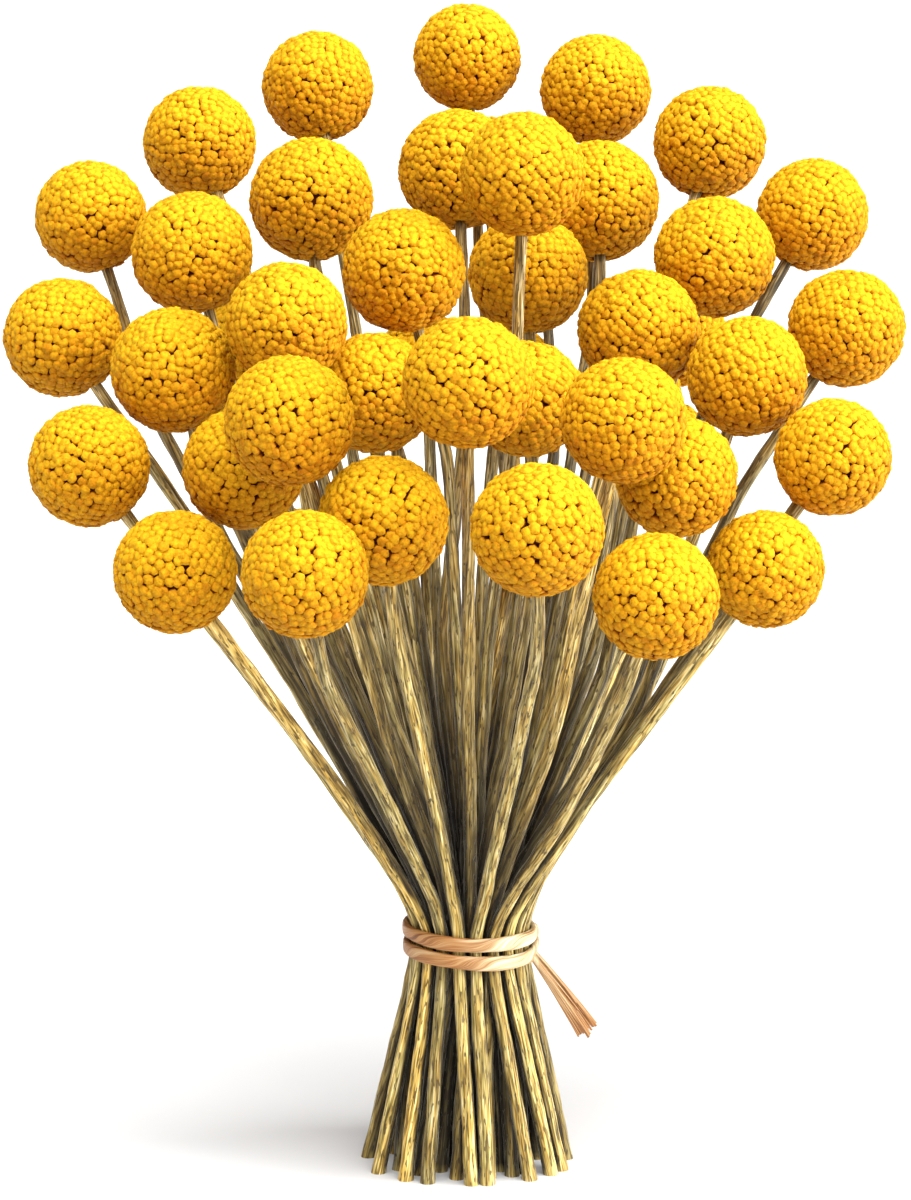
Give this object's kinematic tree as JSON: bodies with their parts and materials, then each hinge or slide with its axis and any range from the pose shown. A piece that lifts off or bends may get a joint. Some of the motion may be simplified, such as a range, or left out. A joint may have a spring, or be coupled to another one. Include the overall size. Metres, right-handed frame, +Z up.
{
  "type": "dried billy buttons bunch",
  "caption": "Hand-tied bunch of dried globe flowers on straight stems that fan out above a raffia tie and stand on level cut ends.",
  "frame": {"origin": "middle of the cut ends that the bunch stands on, in the plane of the surface under them", "axes": "+Z up from the cut ends to the flower heads, the lowest heads and the front of the bunch towards -Y, +X to the right seen from the front"},
  "size_m": [0.2161, 0.2302, 0.2817],
  "materials": {
    "dried_florets": "matte",
    "dried_stem": "matte",
    "raffia": "satin"
  },
  "bodies": {
    "root": {"flower_head_01": "dried_florets", "flower_head_02": "dried_florets", "flower_head_03": "dried_florets", "flower_head_04": "dried_florets", "flower_head_05": "dried_florets", "flower_head_06": "dried_florets", "flower_head_07": "dried_florets", "flower_head_08": "dried_florets", "flower_head_09": "dried_florets", "flower_head_10": "dried_florets", "flower_head_11": "dried_florets", "flower_head_12": "dried_florets", "flower_head_13": "dried_florets", "flower_head_14": "dried_florets", "flower_head_15": "dried_florets", "flower_head_16": "dried_florets", "flower_head_17": "dried_florets", "flower_head_18": "dried_florets", "flower_head_19": "dried_florets", "flower_head_20": "dried_florets", "flower_head_21": "dried_florets", "flower_head_22": "dried_florets", "flower_head_23": "dried_florets", "flower_head_24": "dried_florets", "flower_head_25": "dried_florets", "flower_head_26": "dried_florets", "flower_head_27": "dried_florets", "flower_head_28": "dried_florets", "flower_head_29": "dried_florets", "flower_head_30": "dried_florets", "flower_head_31": "dried_florets", "flower_head_32": "dried_florets", "flower_head_33": "dried_florets", "flower_head_34": "dried_florets", "flower_head_35": "dried_florets", "flower_head_36": "dried_florets", "flower_head_37": "dried_florets", "flower_head_38": "dried_florets", "flower_head_39": "dried_florets", "flower_head_40": "dried_florets", "flower_head_41": "dried_florets", "flower_head_42": "dried_florets", "flower_head_43": "dried_florets", "flower_head_44": "dried_florets", "flower_head_45": "dried_florets", "flower_head_46": "dried_florets", "flower_head_47": "dried_florets", "flower_head_48": "dried_florets", "flower_head_49": "dried_florets", "flower_head_50": "dried_florets", "flower_head_51": "dried_florets", "flower_head_52": "dried_florets", "stems_01": "dried_stem", "stems_02": "dried_stem", "stems_03": "dried_stem", "stems_04": "dried_stem", "stems_05": "dried_stem", "stems_06": "dried_stem", "stems_07": "dried_stem", "raffia_tie": "raffia"}
  },
  "joints": []
}
